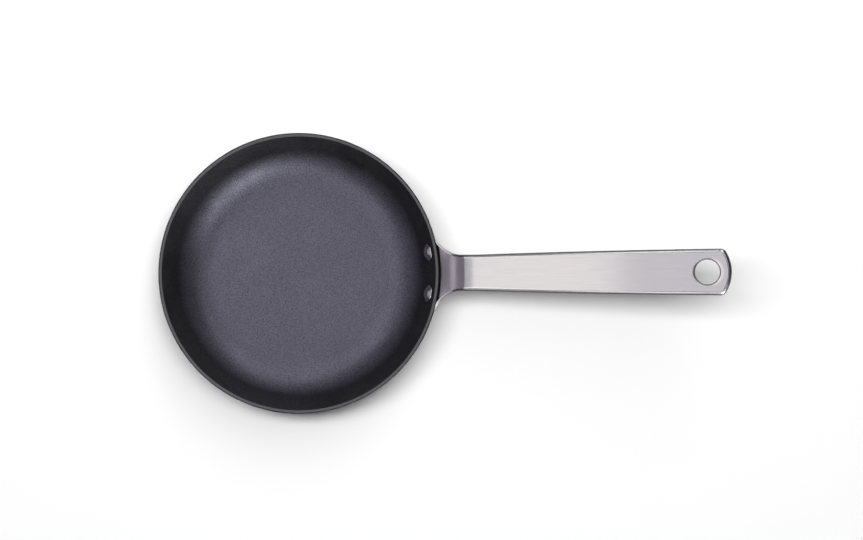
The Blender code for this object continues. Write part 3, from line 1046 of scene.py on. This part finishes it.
@dataclass(frozen=True)
class GranularCoating:
    """Flecked dark coating of the casting, painted darker as shade on its side and outside, and rougher on
    its side.

    The rim is ground, and the standing face is turned and rubbed by use.
    """

    floor_dark: Colour = (0.0763, 0.074, 0.0948, 1)
    floor_light: Colour = (0.159, 0.155, 0.198, 1)
    # Painted shade: the side's colours are a darker copy of the floor's, for walls turned away from the
    # light.
    shaded_side_dark: Colour = (0.036, 0.035, 0.0395, 1)
    shaded_side_light: Colour = (0.106, 0.103, 0.115, 1)
    # Painted shade: outward and downward faces take these darker colours.
    outer_shaded_dark: Colour = (0.022, 0.022, 0.023, 1)
    outer_shaded_light: Colour = (0.05, 0.049, 0.052, 1)
    ground: Colour = (0.116, 0.114, 0.122, 1)
    rubbed: Colour = (0.24, 0.235, 0.24, 1)
    grains_per_metre: float = 1300.0
    relief: float = 0.00008
    flake: Pair = (0.78, 0.95)
    grazing: Colour = (0.35, 0.35, 0.36, 1)
    roughness: Pair = (0.46, 0.38)
    smudges_per_metre: float = 30.0
    side_dulling: float = 0.1
    fleck_gloss: float = 0.06
    groove_pitch: float = 0.0009
    groove_relief: float = 0.6
    rubbing: Pair = (0.5, 0.72)
    standing_rise: Pair = (0.0006, 0.0002)
    side_shade_rise: Pair = (0.006, 0.018)
    dulling_rise: Pair = (0.003, 0.013)
    ground_from_edge: Pair = (0.0006, 0.0009)
    ground_below_top: Pair = (0.0004, 0.0001)

    def material(self, effects: SurfaceEffects, pan: PanSizes) -> bpy.types.Material:
        """Build the coating's material.

        Args:
            effects: The shared patterns.
            pan: Sizes of the casting, for the places of its rim and knuckle.

        Returns:
            The material.
        """
        recipe = MaterialRecipe("granular_coating")
        place = recipe.place()
        speckle = recipe.use(effects.speckle, {"Vector": place, "Grain": self.grains_per_metre})
        smudges = recipe.use(effects.smudges, {"Vector": place, "Scale": self.smudges_per_metre})

        radius, rise = recipe.split(place)
        standing = recipe.band(rise, *self.standing_rise)
        grooves = recipe.times(recipe.waves(radius, self.groove_pitch), standing)
        # 0 on the floor, 1 up the wall: where the side's painted shade comes in.
        side = recipe.band(rise, *(pan.floor + step for step in self.side_shade_rise))
        rim_face = recipe.band(radius, *(pan.rim_radius - step for step in self.ground_from_edge))
        rim_top = recipe.band(rise, *(pan.height - step for step in self.ground_below_top))
        ground_rim = recipe.times(rim_face, rim_top)

        rubbing = recipe.times(standing, recipe.spread(smudges.outputs[0], *self.rubbing))
        shade = speckle.outputs["Shade"]
        # The side takes its painted shade colours over the floor's.
        coat = recipe.blend(side, recipe.blend(shade, self.floor_dark, self.floor_light),
                            recipe.blend(shade, self.shaded_side_dark, self.shaded_side_light))
        # Painted shade on the outside, which also gives the rim's outer edge its dark line.
        outer_coat = recipe.blend(shade, self.outer_shaded_dark, self.outer_shaded_light)
        coat = recipe.blend(recipe.marked("outside"), coat, outer_coat)
        coat = recipe.blend(ground_rim, coat, self.ground)
        gloss = recipe.times(recipe.sum_up("SUBTRACT", shade, 0.5), self.fleck_gloss)
        dulling_rise = (pan.floor + step for step in self.dulling_rise)
        dulling = recipe.band(rise, *dulling_rise, 0.0, self.side_dulling)
        rough = recipe.spread(smudges.outputs[0], *self.roughness)
        height = recipe.plus(recipe.times(grooves, self.groove_relief), speckle.outputs["Height"])
        return recipe.finish({
            "Base Color": recipe.blend(rubbing, coat, self.rubbed),
            "Metallic": recipe.spread(shade, *self.flake),
            "Roughness": recipe.plus(recipe.plus(rough, gloss), dulling),
            "Specular Tint": self.grazing,
        }, height, self.relief)


@dataclass(frozen=True)
class BrushedSteel:
    """Stainless strap, brushed along its length, with a dull cut edge and a dark ring of painted shade round
    the hanging hole.
    """

    low: Colour = (0.56, 0.54, 0.555, 1)
    high: Colour = (0.60, 0.58, 0.595, 1)
    cut: Colour = (0.60, 0.59, 0.61, 1)
    cut_shine: float = 0.4
    cut_roughness: float = 0.5
    # Painted shade: the hanging hole's ring is coloured dark and made less metallic.
    hole_ring_shade: Colour = (0.1, 0.097, 0.1, 1)
    hole_ring_shade_shine: float = 0.2
    strokes_per_metre: float = 5200.0
    relief: float = 0.000002
    roughness: Pair = (0.2, 0.24)
    anisotropy: float = 0.7
    across_strokes: float = 0.25
    streak_gloss: float = 0.02
    smudges_per_metre: float = 55.0

    def material(self, effects: SurfaceEffects) -> bpy.types.Material:
        """Build the steel's material on the strap's own map."""
        recipe = MaterialRecipe("brushed_steel")
        surface = recipe.add("ShaderNodeUVMap", {}, uv_map="brushing").outputs[0]
        cut_edge = recipe.marked("cut_edge")
        hole_ring_shade = recipe.marked("hole_ring_shade")
        strokes = recipe.use(effects.strokes, {"Vector": surface, "Across": self.strokes_per_metre})
        smudges = recipe.use(effects.smudges, {"Vector": recipe.place(), "Scale": self.smudges_per_metre})
        streak = recipe.times(strokes.outputs["Shade"], self.streak_gloss)
        rough = recipe.spread(smudges.outputs[0], *self.roughness)
        dull = recipe.times(cut_edge, self.cut_roughness)
        along = recipe.add("ShaderNodeTangent", {}, direction_type="UV_MAP", uv_map="brushing")
        steel = recipe.blend(strokes.outputs["Shade"], self.low, self.high)
        edge_shine = recipe.spread(cut_edge, 1.0, self.cut_shine)
        ring_shine = recipe.spread(hole_ring_shade, 1.0, self.hole_ring_shade_shine)
        return recipe.finish({
            # The hole's ring takes its painted shade colour.
            "Base Color": recipe.blend(hole_ring_shade, recipe.blend(cut_edge, steel, self.cut), self.hole_ring_shade),
            "Metallic": recipe.times(edge_shine, ring_shine),
            "Roughness": recipe.sum_up("MAXIMUM", recipe.sum_up("SUBTRACT", rough, streak), dull),
            "Anisotropic": self.anisotropy,
            "Anisotropic Rotation": self.across_strokes,
            "Tangent": along.outputs[0],
        }, strokes.outputs["Height"], self.relief)


@dataclass(frozen=True)
class TurnedSteel:
    """Satin rivet steel, with faint rings round the rivet's own axis."""

    low: Colour = (0.54, 0.53, 0.55, 1)
    high: Colour = (0.68, 0.67, 0.69, 1)
    ring_pitch: float = 0.0004
    relief: float = 0.000004
    roughness: Pair = (0.13, 0.19)
    ring_share: float = 0.35
    smudge_share: float = 0.5
    ring_wander: float = 0.0003
    wander_per_metre: float = 420.0
    smudges_per_metre: float = 260.0

    def material(self, effects: SurfaceEffects, rivet: Rivet) -> bpy.types.Material:
        """Build the steel's material round one rivet's axis.

        Args:
            effects: The shared patterns.
            rivet: The rivet that is dressed.

        Returns:
            The material.
        """
        recipe = MaterialRecipe("turned_steel_" + rivet.side.name.lower())
        placing = rivet.placing()
        centred = recipe.add("ShaderNodeMapping", {
            "Vector": recipe.place(),
            "Location": placing.to_translation(),
            "Rotation": placing.to_euler(),
        }, vector_type="TEXTURE").outputs[0]
        radius, _ = recipe.split(centred)
        uneven = recipe.times(recipe.noise(centred, self.wander_per_metre, 2.0), self.ring_wander)
        rings = recipe.waves(recipe.plus(radius, uneven), self.ring_pitch)
        smudges = recipe.use(effects.smudges, {"Vector": centred, "Scale": self.smudges_per_metre})
        shade = recipe.share_of(rings, self.ring_share, smudges.outputs[0], self.smudge_share)
        return recipe.finish({
            "Base Color": recipe.blend(shade, self.high, self.low),
            "Metallic": 1.0,
            "Roughness": recipe.spread(shade, *self.roughness),
        }, rings, self.relief)


@dataclass(frozen=True)
class PaperSweep:
    """White paper that the pan lies on. It is painted grey for every ray but the camera's: painted shade in
    what the metal mirrors and in the light it throws back.
    """

    seen: Colour = (0.9, 0.9, 0.9, 1)
    shaded_when_mirrored: Colour = (0.12, 0.12, 0.125, 1)
    roughness: float = 0.9
    fibres_per_metre: float = 600.0
    relief: float = 0.00001

    def material(self) -> bpy.types.Material:
        """Build the paper's material."""
        recipe = MaterialRecipe("white_paper")
        fibres = recipe.noise(recipe.place(), self.fibres_per_metre, 3.0)
        # Painted shade: the paper is white to the camera and grey to every other ray.
        in_view = recipe.add("ShaderNodeLightPath").outputs["Is Camera Ray"]
        colour = recipe.blend(in_view, self.shaded_when_mirrored, self.seen)
        return recipe.finish({
            "Base Color": colour,
            "Roughness": self.roughness,
            "Specular IOR Level": 0.0,
        }, fibres, self.relief)


@dataclass(frozen=True)
class Softbox:
    """One large soft lamp, set by its direction from the object and by how bright it looks.

    Its directions are in degrees. Its size is given towards the zenith, and then across.
    """

    name: str
    azimuth: float
    from_zenith: float
    size: Pair
    brightness: float
    colour: Triple = (1, 1, 1)
    distance: float = 2.2
    turned: float = 0.0
    use: LampUse = LampUse.REFLECTION
    watts_per_area: float = 4.0

    def hang(self, target: Vector) -> None:
        """Hang the lamp with its width across its own direction, and point it.

        Args:
            target: What it points at.
        """
        lamp = bpy.data.lights.new(self.name, "AREA")
        lamp.shape = "RECTANGLE"
        lamp.size, lamp.size_y = self.size
        lamp.energy = self.brightness * self.watts_per_area * lamp.size * lamp.size_y
        lamp.color = self.colour
        item = put_in_scene(self.name, lamp)
        turn = Matrix.Rotation(math.radians(self.azimuth), 4, "Z")
        tilt = Matrix.Rotation(math.radians(self.from_zenith), 4, "Y")
        reach = Matrix.Translation((0, 0, self.distance))
        twist = Matrix.Rotation(math.radians(self.turned), 4, "Z")
        item.matrix_world = Matrix.Translation(target) @ turn @ tilt @ reach @ twist
        item.visible_camera = False
        item.visible_glossy = self.use is LampUse.REFLECTION
        item.visible_diffuse = self.use is LampUse.LIGHT


@dataclass
class Studio:
    """Paper floor, soft light, and a camera straight above the object, as in the photograph."""

    camera_height: float = 1.6
    camera_place: Pair = (0.0945, 0.00205)
    camera_turn: float = math.radians(-0.205)
    sensor_width: float = 36.0
    picture_width: int = 863
    focal_pixels: float = 2189.0
    clip_end: float = 20.0
    paper_half_width: float = 3.0
    paper_gap: float = 0.0002
    aim: Triple = (0.1, 0, 0)
    surroundings: float = 0.022
    lamps: tuple[Softbox, ...] = (
        Softbox("key", 138.7, 9.9, (1.6, 0.46), 13.3, turned=-138.7, use=LampUse.LIGHT),
        Softbox("fill", 67.4, 28, (1.1, 2.85), 2.35, turned=-67.4, use=LampUse.LIGHT),
        Softbox("overhead", 180, 0, (1.03, 2.6), 0.69, (1.02, 1, 1.06), 2.3),
        Softbox("crown", 180, 0, (0.5, 2.6), 0.17, (1.02, 1, 1.03), 2.3),
        Softbox("warm_strip", 180, 22.15, (0.725, 2.4), 0.97, (1.02, 1, 0.98)),
        Softbox("cool_strip", 180, 36.8, (0.39, 2.4), 0.46, (0.98, 1, 1.08)),
        Softbox("side_card", 180, 59, (1.16, 2.4), 0.16, (1.09, 1, 1.19)),
        Softbox("low_card", 180, 75.2, (0.25, 2.4), 0.43, (1.06, 1, 1.13)),
        Softbox("horizon_card", 180, 84.3, (0.4, 2.4), 0.19, (1.06, 1, 1.13)),
        Softbox("front_right", -48, 57, (1.3, 1.0), 1.9),
        Softbox("front_middle", -73, 57, (1.3, 1.0), 2.1),
        Softbox("front_edge", -99, 54, (0.9, 0.5), 1.35),
        Softbox("front_left", -134, 46, (1.0, 1.25), 0.88),
        Softbox("front_right_low", -45, 82, (0.6, 1.2), 3.0),
        Softbox("front_low", -68, 82, (0.6, 1.2), 4.0),
        Softbox("front_dim", -100, 79, (0.8, 1.0), 0.6),
        Softbox("back_left", 135, 46, (1.0, 1.3), 0.8),
        Softbox("back_edge", 99, 53, (0.9, 0.5), 1.6),
        Softbox("back", 68, 50, (1.3, 1.2), 1.2),
        Softbox("back_low", 72, 82, (0.6, 1.2), 2.4),
        Softbox("back_dim", 101, 79, (0.8, 1.0), 0.4),
        Softbox("back_right", 45, 40, (0.8, 1.2), 0.6),
        Softbox("right_card", 0, 32, (0.7, 1.6), 0.3),
    )

    def lay_paper(self) -> None:
        """Lay the paper just under the standing face."""
        bpy.ops.object.select_all(action="DESELECT")
        bpy.ops.mesh.primitive_plane_add(size=2 * self.paper_half_width)
        paper = bpy.context.object
        paper.name = "paper_sweep"
        paper.location.z = -self.paper_gap
        bpy.ops.object.transform_apply(location=True, rotation=True, scale=True)
        paper.data.materials.append(PaperSweep().material())

    def set_camera(self) -> None:
        """Set the camera."""
        lens = bpy.data.cameras.new("photo_camera")
        lens.sensor_width = self.sensor_width
        lens.lens = self.focal_pixels * self.sensor_width / self.picture_width
        lens.clip_end = self.clip_end
        camera = put_in_scene("photo_camera", lens)
        camera.location = (*self.camera_place, self.camera_height)
        camera.rotation_euler = (0, 0, self.camera_turn)
        bpy.context.scene.camera = camera

    def build(self) -> None:
        """Set up the floor, the light and the camera."""
        self.lay_paper()
        for lamp in self.lamps:
            lamp.hang(Vector(self.aim))
        world = bpy.data.worlds.new("studio_walls")
        world.use_nodes = True
        walls = world.node_tree.nodes["Background"].inputs
        walls["Color"].default_value = (1, 1, 1, 1)
        walls["Strength"].default_value = self.surroundings
        bpy.context.scene.world = world
        bpy.context.scene.view_settings.view_transform = "Standard"
        self.set_camera()


def fit(piece: Workpiece, node: str, material: bpy.types.Material) -> None:
    """Dress a finished piece and let it stand for its CAD node.

    Args:
        piece: The finished piece.
        node: Name of the CAD node, which is hidden.
        material: Its finish.
    """
    piece.leave()
    piece.item.data.materials.clear()
    piece.item.data.materials.append(material)
    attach(piece.item, BODY)
    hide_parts(node)
    LOG.info("%s: %d points", piece.item.name, len(piece.item.data.vertices))


def main() -> None:
    """Build the pan, dress it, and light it."""
    logging.basicConfig(level=logging.INFO, format="%(name)s: %(message)s")
    effects = SurfaceEffects()
    pan = PanSizes()
    strap = HandleSizes()
    rivets = [Rivet(side, pan, strap, RivetSizes()) for side in RivetSide]
    fit(PanBody(pan).model(rivets), "pan_body", GranularCoating().material(effects, pan))
    fit(StrapHandle(pan, strap).model(rivets), "handle", BrushedSteel().material(effects))
    for rivet in rivets:
        fit(rivet.model(), "rivet_" + rivet.side.name.lower(), TurnedSteel().material(effects, rivet))
    Studio().build()


if __name__ == "__main__":
    main()
